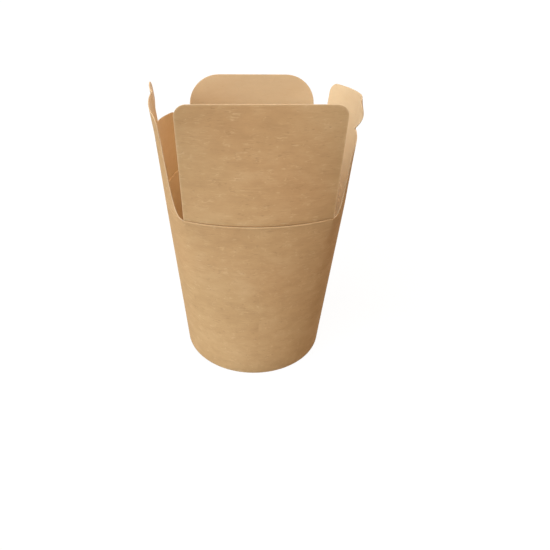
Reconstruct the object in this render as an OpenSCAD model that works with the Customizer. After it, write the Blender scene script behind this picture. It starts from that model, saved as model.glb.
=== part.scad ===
// Open noodle box of kraft card: a round tapered cup with four flaps above its fold line.
// Millimetres. The foot stands on z = 0, the front flap faces -Y, the upright axis is Z.
// Angles about the axis are counted from the front, growing towards +X.

/* [Cup] */
// Outside diameter at the foot
foot_d = 75; // [66:0.5:84]
// Slope of the side, in degrees from upright
side_slope = 4.8; // [3:0.1:7]
// Height of the fold line that the flaps turn on
crease_h = 92; // [80:1:110]
// Thickness of the card
card_t = 0.45; // [0.3:0.05:0.6]
// Half angle of the front and back fold lines
crease_half_angle = 49; // [45:0.5:49.5]
// Bow of the front and back fold lines, from chord to crown
crease_bow = 7; // [6:0.1:8]
// Outward push of the mouth at the four corners between the fold lines
corner_push = 1.4; // [0.5:0.1:2]

/* [Foot and seam] */
// Height of the hem that is turned up inside the foot
hem_h = 7; // [5:0.5:10]
// Room left for glue beside the skirt of the base
glue_gap = 0.1; // [0.08:0.01:0.2]
// Angle of the middle of the glued side seam
seam_angle = 145; // [138:1:215]
// Width of the glued side seam
seam_w = 8; // [5:0.5:12]

/* [Front and back flaps] */
// Height of the front flap above the fold line
front_h = 56.5; // [45:0.5:60]
// Lean of the front flap's side edges, outwards, in degrees
front_lean = 4; // [0:0.5:8]
// Radius of the front flap's top corners
front_corner = 5.5; // [3:0.5:12]
// Growth of the front flap's half width from fold line to top edge
front_spread = 1.4; // [0:0.1:3]
// Height of the back flap above the fold line
back_h = 47.5; // [38:0.5:52]
// Lean of the back flap's side edges, outwards, in degrees
back_lean = 4; // [0:0.5:8]
// Radius of the back flap's top corners
back_corner = 15; // [4:0.5:18]
// Half angle of the back flap's lower edge
back_half_angle = 44.5; // [40:0.5:45]
// Loss of the back flap's half width from fold line to top edge
back_draw = 0.8; // [0:0.1:3]

/* [Ears] */
// Height of the ears above the fold line, at the corner that the slit doesn't reach
ear_h = 45; // [42:0.5:50]
// Angle at which an ear's front edge meets the fold line
ear_front_angle = 50; // [50:0.5:56]
// Angle at which an ear's back edge meets the fold line
ear_back_angle = 131; // [126:0.5:132]
// Angle by which the front edge draws in on the way up to the slit
neck_front_angle = 16; // [8:0.5:20]
// Angle by which the back edge draws in on the way up to the slit
neck_back_angle = 5; // [2:0.5:10]
// Height of the slit above the fold line
slit_h = 33; // [28:0.5:36]
// Width of the slit
slit_w = 0.9; // [0.5:0.1:1.5]
// Fall of the slit's lower lip towards its mouth
slit_mouth = 2; // [0:0.1:3]
// Depth of the slit
slit_depth = 22.5; // [18:0.5:26]
// Reach of the free hook beyond the end of the slit
hook_reach = 16; // [12:0.5:18]
// Radius of the hook's lower corner, above the slit
hook_corner = 5; // [3:0.5:5]
// Radius of the hook's top corner
hook_top = 6.5; // [3:0.5:6.5]
// Rise of the top edge, from the joined corner to the hook's end
head_rise = 3.2; // [3:0.1:4]
// Rise of the hook's lower edge, from the end of the slit to the hook's end
hook_lift = 3; // [0:0.1:3]
// Radius of the joined top corner
ear_corner = 4.5; // [2:0.5:5]
// Outward lean of the part above the slit, in degrees
head_lean = 3; // [0:0.5:6]
// Outward turn of the right ear's free hook, in degrees
right_hook_angle = -4; // [-10:1:40]
// Outward turn of the left ear's free hook, in degrees
left_hook_angle = 24; // [0:1:40]

/* [Fold line] */
// Slot between the cup's rim and each flap, where the card folds
fold_gap = 0.95; // [0.7:0.05:1.2]

/* [Hidden] */
kraft = [0.75, 0.60, 0.41];
kraft_dark = [0.66, 0.51, 0.34];
// Steps of the meshes: around the cup, up the cup, across and up a flap
wall_cols = 72;
wall_rows = 5;
flap_cols = 20;
flap_rows = 8;
corner_rows = 5;
hook_cols = 8;
join_cols = 8;
neck_rows = 9;
head_rows = 10;
// Power of the curve by which an ear draws in: steep at the fold line, easy above
neck_power = 0.38;
// Half the angle between the two columns that step over an edge of the seam
edge_of_seam = 0.02;
// Power that crowds an ear's rows together near the fold line
row_power = 1.6;
// Power of the curve by which the slit's lower lip falls
lip_power = 3;
base_facets = 96;
crease_r = cone_r(crease_h);
corner_r = crease_r + corner_push;
chord_y = corner_r * cos(crease_half_angle);
chord_x = corner_r * sin(crease_half_angle);
bow_r = (chord_x * chord_x + crease_bow * crease_bow) / (2 * crease_bow);
bow_centre = bow_r - chord_y - crease_bow;
slot_w = card_t + 2 * glue_gap;
base_z = hem_h + glue_gap;
round_h = base_z + 2 * card_t;
slit_low = slit_h - slit_w / 2;
slit_top = slit_h + slit_w / 2;

// Outside radius of the round taper at a height
function cone_r(z) = foot_d / 2 + z * tan(side_slope);

// Angle from the nearest of the front and the back
function from_face(a) = let (turn = abs((a % 360 + 540) % 360 - 180)) min(turn, 180 - turn);

// Radius of the bowed front or back fold line, seen from the axis
function bowed_r(f) = sqrt(pow(bow_r, 2) - pow(bow_centre * sin(f), 2)) - bow_centre * cos(f);

// How far the push at a corner has faded towards the middle of the side
function corner_fade(f) = pow(cos(90 * (f - crease_half_angle) / (90 - crease_half_angle)), 2);

// How far the fold line lies outside the round taper: pushed out at the corners, drawn in at the crowns
function mouth_push(f) = f < crease_half_angle ? bowed_r(f) - crease_r : corner_push * corner_fade(f);

// Share of that push at a height of the cup
function push_share(z) = max(0, z - round_h) / (crease_h - round_h);

// Outside radius of the cup's wall
function wall_r(a, z) = cone_r(z) + mouth_push(from_face(a)) * push_share(z);

// Point at a radius, angle and height
function polar(r, a, z) = [r * sin(a), -r * cos(a), z];

// How much a round corner of radius r takes off an edge, at distance d from the corner
function corner_inset(d, r) = d < r ? r - sqrt(max(0, r * r - pow(r - d, 2))) : 0;

// Angle that spans an arc of a given length
function arc_angle(length, r) = length / r * 180 / PI;

// Two triangles that fill a four-cornered cell
function two_faces(a, b, c, d) = [[a, b, c], [a, c, d]];

// Sheet of card between two grids of points, without the cells that cut names as [row, first, last]
module card_sheet(outer, inner, cut = [-1, 0, 0]) {
    rows = len(outer);
    cols = len(outer[0]);
    inside = rows * cols;
    function at(r, c) = r * cols + c;
    function in_cut(r, c) = r == cut[0] && c >= cut[1] && c < cut[2];
    function kept(r, c) = r >= 0 && r < rows - 1 && c >= 0 && c < cols - 1 && !in_cut(r, c);
    function rim(a, b) = two_faces(a, b, b + inside, a + inside);
    cells = [for (r = [0 : rows - 2], c = [0 : cols - 2]) if (kept(r, c)) [r, c]];
    faces = [
        for (cell = cells)
            let (
                r = cell[0],
                c = cell[1],
                low = at(r, c),
                low_next = at(r, c + 1),
                high = at(r + 1, c),
                high_next = at(r + 1, c + 1)
            )
            each concat(
                two_faces(low, high, high_next, low_next),
                two_faces(inside + low, inside + low_next, inside + high_next, inside + high),
                kept(r - 1, c) ? [] : rim(low, low_next),
                kept(r + 1, c) ? [] : rim(high_next, high),
                kept(r, c - 1) ? [] : rim(high, low),
                kept(r, c + 1) ? [] : rim(low_next, high_next)
            )
    ];
    points = concat([for (row = outer) each row], [for (row = inner) each row]);
    polyhedron(points = points, faces = faces);
}

// Closed band swept once around the axis: one ring of points for each step of its section
module swept_band(rings) {
    steps = len(rings);
    cols = len(rings[0]);
    faces = [
        for (s = [0 : steps - 1], c = [0 : cols - 1])
            let (up = (s + 1) % steps, next = (c + 1) % cols)
            each two_faces(s * cols + c, up * cols + c, up * cols + next, s * cols + next)
    ];
    polyhedron(points = [for (ring = rings) each ring], faces = faces);
}

// Angles of the wall's columns, with a close pair at each edge of the seam
function wall_angles() =
    let (
        half = arc_angle(seam_w, crease_r) / 2,
        step = 360 / wall_cols,
        plain = [for (i = [0 : wall_cols - 1]) i * step],
        clear = [for (a = plain) if (abs(abs(a - seam_angle) - half) > step / 4) a],
        edges = [for (side = [-1, 1], e = [-1, 1]) seam_angle + side * half + e * edge_of_seam]
    )
    sorted(concat(clear, edges));

// A list of numbers in rising order
function sorted(list) =
    len(list) < 2 ? list :
    let (
        pivot = list[floor(len(list) / 2)],
        less = [for (v = list) if (v < pivot) v],
        same = [for (v = list) if (v == pivot) v],
        more = [for (v = list) if (v > pivot) v]
    )
    concat(sorted(less), same, sorted(more));

// Extra layer of card outside the wall at the glued seam
function seam_layer(a) = abs(a - seam_angle) < arc_angle(seam_w, crease_r) / 2 ? card_t : 0;

// Outside ring of the wall at a height, drawn in by an inset
function wall_ring(z, inset) = [
    for (a = wall_angles())
        polar(wall_r(a, z) - inset + (inset == 0 ? seam_layer(a) : 0), a, z)
];

// The same ring as a flat outline
function wall_outline(z, inset) = [for (p = wall_ring(z, inset)) [p[0], p[1]]];

// Tapered wall: one sheet, lapped at the seam, with its foot turned in and up as a hem
module wall() {
    rising = [for (i = [0 : wall_rows]) round_h + (crease_h - round_h) * i / wall_rows];
    falling = [for (i = [wall_rows : -1 : 0]) rising[i]];
    hem_out = card_t + slot_w;
    hem_in = hem_out + card_t;
    sleeve = concat(
        [[card_t, 0]],
        [for (z = rising) [z, 0]],
        [for (z = falling) [z, card_t]],
        [[card_t, card_t]]
    );
    hem = [[card_t, hem_out], [hem_h, hem_out], [hem_h, hem_in], [card_t, hem_in]];
    color(kraft) {
        swept_band([for (p = sleeve) wall_ring(p[0], p[1])]);
        swept_band([for (p = hem) wall_ring(p[0], p[1])]);
        linear_extrude(card_t)
            difference() {
                polygon(wall_outline(card_t, 0));
                polygon(wall_outline(card_t, hem_in));
            }
    }
}

// Round base, set up inside the foot, with its skirt turned down between wall and hem
module base() {
    skirt_foot = card_t + glue_gap;
    function skirt_r(z) = cone_r(z) - card_t - glue_gap;
    color(kraft_dark)
        rotate_extrude($fn = base_facets)
            polygon([
                [0, base_z],
                [skirt_r(base_z) - card_t, base_z],
                [skirt_r(skirt_foot) - card_t, skirt_foot],
                [skirt_r(skirt_foot), skirt_foot],
                [skirt_r(base_z + card_t), base_z + card_t],
                [0, base_z + card_t]
            ]);
}

// Heights of the rows of a flap: even up its side, closer around its top corners
function flap_heights(h, corner) = concat(
    [for (i = [0 : flap_rows]) fold_gap + (h - corner - fold_gap) * i / flap_rows],
    [for (i = [1 : corner_rows]) h - corner + corner * sin(90 * i / corner_rows)]
);

// Front or back flap: bowed like the fold line at its foot, straight along its top
module face_flap(h, half_w, spread, lean, corner) {
    heights = flap_heights(h, corner);
    function bow_at(x) = sqrt(bow_r * bow_r - x * x) - bow_centre - chord_y;
    function half_at(z) = half_w + spread * z / h - corner_inset(h - z, corner);
    function outer_at(x, z) = [x, -(chord_y + z * tan(lean) + (1 - z / h) * bow_at(x)), crease_h + z];
    function inward(x, z) = let (turn = asin(x / bow_r) * (1 - z / h)) [-sin(turn), cos(turn), 0];
    spans = [for (i = [0 : flap_cols]) 2 * i / flap_cols - 1];
    outer = [for (z = heights) [for (s = spans) outer_at(s * half_at(z), z)]];
    inner = [
        for (z = heights)
            [for (s = spans) let (x = s * half_at(z)) outer_at(x, z) + card_t * inward(x, z)]
    ];
    card_sheet(outer, inner);
}

// Front flap: the tallest, with its top corners tightly rounded
module front_flap() {
    color(kraft)
        face_flap(front_h, chord_x, front_spread, front_lean, front_corner);
}

// Back flap: lower and narrower, with its top corners widely rounded
module back_flap() {
    color(kraft)
        rotate(180)
            face_flap(back_h, corner_r * sin(back_half_angle), -back_draw, back_lean, back_corner);
}

// Heights of the rows of an ear: the neck up to the slit, then the head above it
function ear_heights() = concat(
    [for (i = [0 : neck_rows]) fold_gap + (slit_low - fold_gap) * pow(i / neck_rows, row_power)],
    [for (i = [0 : head_rows]) slit_top + (ear_h - slit_top) * (1 - cos(180 * i / head_rows)) / 2]
);

// Share of the way that an ear's edges have drawn in at a height
function neck_share(z) = pow(min(z, slit_low) / slit_low, neck_power);

// Ear as it stands on the right: on the taper up to a slit half way across, a free hook above the slit
module ear(hook_in_front, hook_turn) {
    heights = ear_heights();
    side = hook_in_front ? 1 : -1;
    front_top = ear_front_angle + neck_front_angle;
    back_top = ear_back_angle - neck_back_angle;
    head_r = cone_r(crease_h + slit_h);
    slit_angle = arc_angle(slit_depth, head_r);
    shy = arc_angle(slit_depth - hook_reach, head_r);
    slit_end = hook_in_front ? front_top + slit_angle : back_top - slit_angle;
    hook_end = hook_in_front ? front_top + shy : back_top - shy;
    join_top = hook_in_front ? back_top : front_top;
    head_h = ear_h - slit_top;
    stretch = 1 + (head_rise - hook_lift) / head_h;
    first_cols = hook_in_front ? hook_cols : join_cols;
    last_cols = hook_in_front ? join_cols : hook_cols;
    function is_head(z) = z > slit_h;
    function plain_r(z) = cone_r(crease_h + z) + (is_head(z) ? (z - slit_top) * tan(head_lean) : 0);
    function radius(a, z) = plain_r(z) + mouth_push(from_face(a)) * max(0, 1 - z / slit_low);
    function top_rise(a) = head_rise * (a - join_top) / (hook_end - join_top);
    function low_rise(a) = hook_lift * max(0, (a - slit_end) / (hook_end - slit_end));
    function rise(a, z) =
        is_head(z)
            ? low_rise(a) + (top_rise(a) - low_rise(a)) * (z - slit_top) / head_h
            : 0;
    function hook_inset(z) =
        corner_inset((ear_h - z) * stretch, hook_top)
            + corner_inset((z - slit_top) * stretch, hook_corner);
    function inset(z, hooked) = hooked ? hook_inset(z) : corner_inset(ear_h - z, ear_corner);
    function inset_angle(z, hooked) =
        is_head(z) ? arc_angle(inset(z, hooked), head_r) + (hooked ? shy : 0) : 0;
    function front_edge(z) =
        ear_front_angle + neck_front_angle * neck_share(z) + inset_angle(z, hook_in_front);
    function back_edge(z) =
        ear_back_angle - neck_back_angle * neck_share(z) - inset_angle(z, !hook_in_front);
    function columns(z) = concat(
        [for (i = [0 : first_cols - 1]) front_edge(z) + (slit_end - front_edge(z)) * i / first_cols],
        [for (i = [0 : last_cols]) slit_end + (back_edge(z) - slit_end) * i / last_cols]
    );
    function on_hook(a, z) = is_head(z) && side * (slit_end - a) > 0;
    function turned(p, about, turn) =
        let (d = p - about)
        about + [d[0] * cos(turn) - d[1] * sin(turn), d[0] * sin(turn) + d[1] * cos(turn), 0];
    function slit_share(a) = max(0, side * (slit_end - a)) / slit_angle;
    function lip_fall(a, z) =
        is_head(z) ? 0 : slit_mouth * pow(z / slit_low, lip_power) * slit_share(a);
    function placed(a, z, depth) =
        let (
            level = crease_h + z - lip_fall(a, z) + rise(a, z),
            flat = polar(radius(a, z) - depth, a, level),
            bend = polar(radius(slit_end, z), slit_end, level)
        )
        on_hook(a, z) ? turned(flat, bend, side * hook_turn) : flat;
    outer = [for (z = heights) [for (a = columns(z)) placed(a, z, 0)]];
    inner = [for (z = heights) [for (a = columns(z)) placed(a, z, card_t)]];
    cut = hook_in_front ? [neck_rows, 0, first_cols] : [neck_rows, first_cols, first_cols + last_cols];
    card_sheet(outer, inner, cut);
}

// Right ear: its slit opens to the front
module right_flap() {
    color(kraft)
        ear(true, right_hook_angle);
}

// Left ear: its slit opens to the back, so that the two ears hook into each other
module left_flap() {
    color(kraft)
        mirror([1, 0, 0])
            ear(false, left_hook_angle);
}

wall();
base();
front_flap();
back_flap();
left_flap();
right_flap();
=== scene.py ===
"""Open noodle box of kraft card: a round tapered cup and four flaps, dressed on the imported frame.

The classes hold their sizes in millimetres. Finished meshes are in metres, in the frame of the
solids.
"""
import logging
import math
from dataclasses import dataclass
from enum import Enum, IntEnum
from typing import Dict, List, NamedTuple, Sequence, Tuple, Union

import bmesh
import bpy
import numpy as np
from mathutils import Matrix, Vector


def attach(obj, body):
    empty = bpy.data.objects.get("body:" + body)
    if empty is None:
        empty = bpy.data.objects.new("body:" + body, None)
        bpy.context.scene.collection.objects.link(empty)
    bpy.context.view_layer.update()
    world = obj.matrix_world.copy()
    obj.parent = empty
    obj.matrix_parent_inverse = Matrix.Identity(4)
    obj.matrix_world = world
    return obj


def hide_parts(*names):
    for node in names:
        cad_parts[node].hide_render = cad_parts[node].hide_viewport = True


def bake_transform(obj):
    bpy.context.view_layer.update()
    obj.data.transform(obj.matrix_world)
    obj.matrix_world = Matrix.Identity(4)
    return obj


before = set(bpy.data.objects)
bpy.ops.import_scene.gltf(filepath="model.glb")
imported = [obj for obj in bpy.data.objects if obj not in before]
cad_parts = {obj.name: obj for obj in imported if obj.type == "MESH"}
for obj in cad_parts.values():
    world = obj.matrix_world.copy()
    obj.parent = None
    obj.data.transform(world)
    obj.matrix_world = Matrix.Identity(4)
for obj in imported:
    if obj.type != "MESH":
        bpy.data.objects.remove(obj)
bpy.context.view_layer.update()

LOG = logging.getLogger("noodle_box")
MM = 0.001
UV_NAME = "card"
# Attribute of lighter, worn card; along the wall's front and back folds it also holds a painted
# highlight.
WEAR_AND_HIGHLIGHT_NAME = "wear"
SURFACE_NAME = "surface"
INSIDE_UV_SHIFT = 0.37
SHARP_EDGE_DEG = 32.0
QUARTER_TURN = math.pi / 2.0
BACK_HALF_ANGLE_DEG = 44.5
WHITE = (1.0, 1.0, 1.0)
TINY = 1e-9
TINY_SQUARE = 1e-12

Colour = Tuple[float, float, float]
Point = Tuple[float, float, float]
Socket = bpy.types.NodeSocket
Operand = Union[float, Socket]


class Surface(IntEnum):
    """The three surfaces that a sheet of card shows."""

    OUTSIDE = 0
    INSIDE = 1
    CUT = 2


class Side(Enum):
    """Side of the box that a flap stands on, as the sign of X."""

    LEFT = -1
    RIGHT = 1


class HookEdge(Enum):
    """Edge of an ear that its free hook points to."""

    FRONT = 1
    BACK = -1


class Face(Enum):
    """Face of the box that a broad flap closes, as the sign of Y."""

    FRONT = -1
    BACK = 1


class NodeCanvas:
    """Places and links the nodes of one tree."""

    def __init__(self, tree: bpy.types.NodeTree) -> None:
        """Takes the tree to draw on.

        Args:
            tree: A shader or geometry tree.
        """
        self.tree = tree

    def add(self, kind: str, **settings: object) -> bpy.types.Node:
        """Adds one node.

        Args:
            kind: The node's type name.
            **settings: Properties of the node to set.

        Returns:
            The new node.
        """
        node = self.tree.nodes.new(kind)
        for name, value in settings.items():
            setattr(node, name, value)
        return node

    def feed(self, socket: Socket, value: object) -> None:
        """Links a socket to an output, or sets its constant.

        Args:
            socket: The input to feed.
            value: An output socket or a constant.
        """
        if isinstance(value, bpy.types.NodeSocket):
            self.tree.links.new(value, socket)
        else:
            socket.default_value = value

    def math(
        self, operation: str, first: Operand, second: Operand = 0.0, clamp: bool = False
    ) -> Socket:
        """Adds one step of arithmetic.

        Args:
            operation: The Math node's operation.
            first: First operand.
            second: Second operand, where the operation has one.
            clamp: Whether the result is held between 0 and 1.

        Returns:
            The result's socket.
        """
        node = self.add("ShaderNodeMath", operation=operation, use_clamp=clamp)
        self.feed(node.inputs[0], first)
        self.feed(node.inputs[1], second)
        return node.outputs[0]

    def plus(self, first: Operand, second: Operand, clamp: bool = False) -> Socket:
        """Adds two numbers."""
        return self.math("ADD", first, second, clamp)

    def minus(self, first: Operand, second: Operand) -> Socket:
        """Takes the second number from the first."""
        return self.math("SUBTRACT", first, second)

    def times(self, first: Operand, second: Operand, clamp: bool = False) -> Socket:
        """Multiplies two numbers."""
        return self.math("MULTIPLY", first, second, clamp)

    def xyz(self, x: Operand, y: Operand, z: Operand) -> Socket:
        """Joins three numbers into a vector.

        Args:
            x: First component.
            y: Second component.
            z: Third component.

        Returns:
            The vector's socket.
        """
        node = self.add("ShaderNodeCombineXYZ")
        for socket, value in zip(node.inputs, (x, y, z)):
            self.feed(socket, value)
        return node.outputs[0]

    def polar(self, radius: Socket, angle: Socket, height: Socket) -> Socket:
        """Finds a place round the axis.

        Args:
            radius: Distance from the axis.
            angle: Angle from the front, in radians.
            height: Height.

        Returns:
            The place's socket.
        """
        across = self.times(radius, self.math("SINE", angle))
        ahead = self.times(self.times(radius, self.math("COSINE", angle)), -1.0)
        return self.xyz(across, ahead, height)

    def mix(self, share: Operand, first: object, second: object, blend: str = "MIX") -> Socket:
        """Mixes two colours.

        Args:
            share: Share of the second colour.
            first: First colour or socket.
            second: Second colour or socket.
            blend: The blend type.

        Returns:
            The colour's socket.
        """
        node = self.add("ShaderNodeMix", data_type="RGBA", blend_type=blend, clamp_factor=True)
        self.feed(node.inputs["Factor"], share)
        self.feed(node.inputs[6], opaque(first))
        self.feed(node.inputs[7], opaque(second))
        return node.outputs[2]

    def noise(self, vector: Socket, scale: float, detail: float, roughness: float = 0.5) -> Socket:
        """Adds a noise pattern.

        Args:
            vector: Where it is read.
            scale: Cells to a metre of that vector.
            detail: Octaves.
            roughness: Weight of the finer octaves.

        Returns:
            The value's socket, about 0.5 on average.
        """
        node = self.add("ShaderNodeTexNoise")
        self.feed(node.inputs["Vector"], vector)
        self.feed(node.inputs["Scale"], scale)
        self.feed(node.inputs["Detail"], detail)
        self.feed(node.inputs["Roughness"], roughness)
        return node.outputs[0]

    def stretched(self, vector: Socket, scale: Point, turn_deg: float = 0.0) -> Socket:
        """Scales and turns a texture's coordinates.

        Args:
            vector: Coordinates in.
            scale: Scale along each axis.
            turn_deg: Turn about the third axis.

        Returns:
            Coordinates out.
        """
        node = self.add("ShaderNodeMapping")
        self.feed(node.inputs["Vector"], vector)
        node.inputs["Rotation"].default_value = (0.0, 0.0, math.radians(turn_deg))
        node.inputs["Scale"].default_value = scale
        return node.outputs[0]

    def span(
        self, value: Socket, low: float, high: float, out_low: float = 0.0, out_high: float = 1.0
    ) -> Socket:
        """Maps a range of a value onto another, held at both ends.

        Args:
            value: The value in.
            low: Start of its range.
            high: End of its range.
            out_low: What the start becomes.
            out_high: What the end becomes.

        Returns:
            The value out.
        """
        node = self.add("ShaderNodeMapRange", clamp=True)
        self.feed(node.inputs["Value"], value)
        node.inputs["From Min"].default_value = low
        node.inputs["From Max"].default_value = high
        node.inputs["To Min"].default_value = out_low
        node.inputs["To Max"].default_value = out_high
        return node.outputs[0]

    def bump(self, height: Socket, strength: float, depth: float) -> Socket:
        """Raises a pattern as bump.

        Args:
            height: The pattern.
            strength: Strength of the bump.
            depth: Depth of the pattern, in millimetres.

        Returns:
            The normal's socket.
        """
        node = self.add("ShaderNodeBump")
        node.inputs["Strength"].default_value = strength
        node.inputs["Distance"].default_value = depth * MM
        self.feed(node.inputs["Height"], height)
        return node.outputs["Normal"]


def opaque(colour: object) -> object:
    """Gives a plain colour its fourth number, and leaves a socket alone.

    Args:
        colour: Three numbers, or a socket.

    Returns:
        Four numbers, or the socket.
    """
    if isinstance(colour, bpy.types.NodeSocket):
        return colour
    return (colour[0], colour[1], colour[2], 1.0)


def new_surface(name: str) -> Tuple[bpy.types.Material, NodeCanvas, bpy.types.Node]:
    """Makes a material.

    Args:
        name: Name of the material.

    Returns:
        The material, the canvas of its tree and its surface shader.
    """
    material = bpy.data.materials.new(name)
    material.use_nodes = True
    shader = material.node_tree.nodes["Principled BSDF"]
    return material, NodeCanvas(material.node_tree), shader


@dataclass(frozen=True)
class Grain:
    """A pattern in the card: cells to a metre along and across the sheet, turn and octaves."""

    cells: Point
    turn_deg: float = 0.0
    detail: float = 2.0
    roughness: float = 0.5

    def place(self, canvas: NodeCanvas, flat: Socket) -> Socket:
        """Coordinates of the pattern on the flat card."""
        return canvas.stretched(flat, self.cells, self.turn_deg)

    def draw(self, canvas: NodeCanvas, flat: Socket) -> Socket:
        """Draws the pattern as noise."""
        return canvas.noise(self.place(canvas, flat), 1.0, self.detail, self.roughness)


LONG_FIBRES = Grain((150.0, 1350.0, 1.0), turn_deg=2.0, detail=3.0, roughness=0.6)
FINE_FIBRES = Grain((420.0, 3000.0, 1.0), turn_deg=-3.0, detail=2.0, roughness=0.55)
BROAD_CLOUDS = Grain((26.0, 40.0, 1.0))
SMALL_CLOUDS = Grain((95.0, 210.0, 1.0), turn_deg=4.0, detail=4.0, roughness=0.6)
WARM_DRIFT = Grain((9.0, 13.0, 1.0))
SHEET_WAVES = Grain((60.0, 150.0, 1.0))
PALE_HAIRS = Grain((120.0, 520.0, 1.0), turn_deg=6.0, detail=1.0)
RUBBED_HAIRS = Grain((120.0, 610.0, 1.0), turn_deg=-14.0, detail=1.0)
DARK_HAIRS = Grain((120.0, 700.0, 1.0), turn_deg=11.0, detail=1.0)
BARK_FLECKS = Grain((170.0, 420.0, 1.0), turn_deg=8.0)


@dataclass(frozen=True)
class KraftFinish:
    """Unbleached kraft card, with clouding, fibres, flecks and lighter, worn edges; the same
    lightening paints a highlight along the wall's front and back folds.
    """

    name: str
    colour: Colour
    warm: Colour
    pale: Colour
    dark: Colour
    wear_and_highlight: Colour
    fibre_share: float
    hair_share: float
    cloud_share: float
    fleck_share: float
    roughness: float
    bump: float
    specular: float
    roughness_swing: float = 0.06
    drift_share: float = 0.75
    bump_depth: float = 0.12

    def material(self) -> bpy.types.Material:
        """Builds the finish as a material.

        Returns:
            The material.
        """
        material, canvas, shader = new_surface(self.name)
        flat = canvas.add("ShaderNodeUVMap", uv_map=UV_NAME).outputs["UV"]
        long_fibre = LONG_FIBRES.draw(canvas, flat)
        fine_fibre = FINE_FIBRES.draw(canvas, flat)
        colour = self._clouded(canvas, flat)
        colour = self._fibred(canvas, flat, colour, (long_fibre, fine_fibre))
        colour = self._haired(canvas, flat, colour)
        colour = self._flecked(canvas, flat, colour)
        colour = self._rubbed_edges_and_fold_highlight(canvas, flat, colour)
        canvas.feed(shader.inputs["Base Color"], colour)
        low, high = self.roughness - self.roughness_swing, self.roughness + self.roughness_swing
        canvas.feed(shader.inputs["Roughness"], canvas.span(long_fibre, 0.3, 0.7, low, high))
        shader.inputs["Specular IOR Level"].default_value = self.specular
        height = self._height(canvas, flat, (long_fibre, fine_fibre))
        canvas.feed(shader.inputs["Normal"], canvas.bump(height, self.bump, self.bump_depth))
        return material

    def _clouded(self, canvas: NodeCanvas, flat: Socket) -> Socket:
        """Varies the colour in broad and small clouds.

        Args:
            canvas: The material's canvas.
            flat: Flat coordinates of the card.

        Returns:
            The colour's socket.
        """
        broad = canvas.times(BROAD_CLOUDS.draw(canvas, flat), 0.45)
        small = canvas.times(SMALL_CLOUDS.draw(canvas, flat), 0.55)
        tone = canvas.plus(broad, small)
        lighter = canvas.span(tone, 0.5, 0.68, out_high=self.cloud_share)
        darker = canvas.span(tone, 0.5, 0.32, out_high=self.cloud_share)
        drift = canvas.span(WARM_DRIFT.draw(canvas, flat), 0.42, 0.66, out_high=self.drift_share)
        colour = canvas.mix(drift, self.colour, self.warm)
        colour = canvas.mix(lighter, colour, self.pale)
        return canvas.mix(darker, colour, self.dark)

    def _fibred(
        self, canvas: NodeCanvas, flat: Socket, colour: Socket, fibres: Tuple[Socket, Socket]
    ) -> Socket:
        """Draws pale and dark fibres, which lie along the sheet.

        Args:
            canvas: The material's canvas.
            flat: Flat coordinates of the card.
            colour: The colour so far.
            fibres: Patterns of the long and of the fine fibres.

        Returns:
            The colour's socket.
        """
        long_fibre, fine_fibre = fibres
        grouped = canvas.span(canvas.noise(flat, scale=85.0, detail=2.0), 0.42, 0.62)
        pale = canvas.span(long_fibre, 0.56, 0.72, out_high=self.fibre_share)
        dark = canvas.span(long_fibre, 0.42, 0.28, out_high=self.fibre_share)
        fine = canvas.span(fine_fibre, 0.55, 0.75, out_high=0.5 * self.fibre_share)
        colour = canvas.mix(canvas.times(pale, grouped), colour, self.pale)
        colour = canvas.mix(canvas.times(dark, grouped), colour, self.dark)
        return canvas.mix(fine, colour, self.dark)

    def _haired(self, canvas: NodeCanvas, flat: Socket, colour: Socket) -> Socket:
        """Lays single fibres on the sheet, as thin, slightly curved pale and dark hairs.

        Args:
            canvas: The material's canvas.
            flat: Flat coordinates of the card.
            colour: The colour so far.

        Returns:
            The colour's socket.
        """
        hairs = (
            (PALE_HAIRS, 170.0, self.pale),
            (RUBBED_HAIRS, 210.0, self.wear_and_highlight),
            (DARK_HAIRS, 250.0, self.dark),
        )
        for grain, patches, hair in hairs:
            aside = canvas.math("ABSOLUTE", canvas.minus(grain.draw(canvas, flat), 0.5))
            line = canvas.span(aside, 0.022, 0.008)
            there = canvas.span(canvas.noise(flat, scale=patches, detail=2.0), 0.54, 0.62)
            share = canvas.times(canvas.times(line, there), self.hair_share)
            colour = canvas.mix(share, colour, hair)
        return colour

    def _flecked(self, canvas: NodeCanvas, flat: Socket, colour: Socket) -> Socket:
        """Scatters small bark flecks.

        Args:
            canvas: The material's canvas.
            flat: Flat coordinates of the card.
            colour: The colour so far.

        Returns:
            The colour's socket.
        """
        cells = canvas.add("ShaderNodeTexVoronoi", feature="F1")
        canvas.feed(cells.inputs["Vector"], BARK_FLECKS.place(canvas, flat))
        cells.inputs["Scale"].default_value = 1.0
        spot = canvas.span(cells.outputs["Distance"], 0.16, 0.06)
        chosen = canvas.span(cells.outputs["Color"], 0.62, 0.72)
        share = canvas.times(canvas.times(spot, chosen), self.fleck_share)
        return canvas.mix(share, colour, self.dark)

    def _rubbed_edges_and_fold_highlight(self, canvas: NodeCanvas, flat: Socket, colour: Socket) -> Socket:
        """Lightens the card unevenly along its cut edges and folds: wear, and along the wall's
        front and back folds partly a painted highlight on the lit ridge.

        Args:
            canvas: The material's canvas.
            flat: Flat coordinates of the card.
            colour: The colour so far.

        Returns:
            The colour's socket.
        """
        wear = canvas.add("ShaderNodeAttribute", attribute_name=WEAR_AND_HIGHLIGHT_NAME).outputs["Fac"]
        patches = canvas.noise(flat, scale=420.0, detail=3.0, roughness=0.6)
        uneven = canvas.span(patches, 0.35, 0.65, 0.35, 1.0)
        share = canvas.times(canvas.math("POWER", wear, 1.6), uneven, clamp=True)
        return canvas.mix(share, colour, self.wear_and_highlight)

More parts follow.
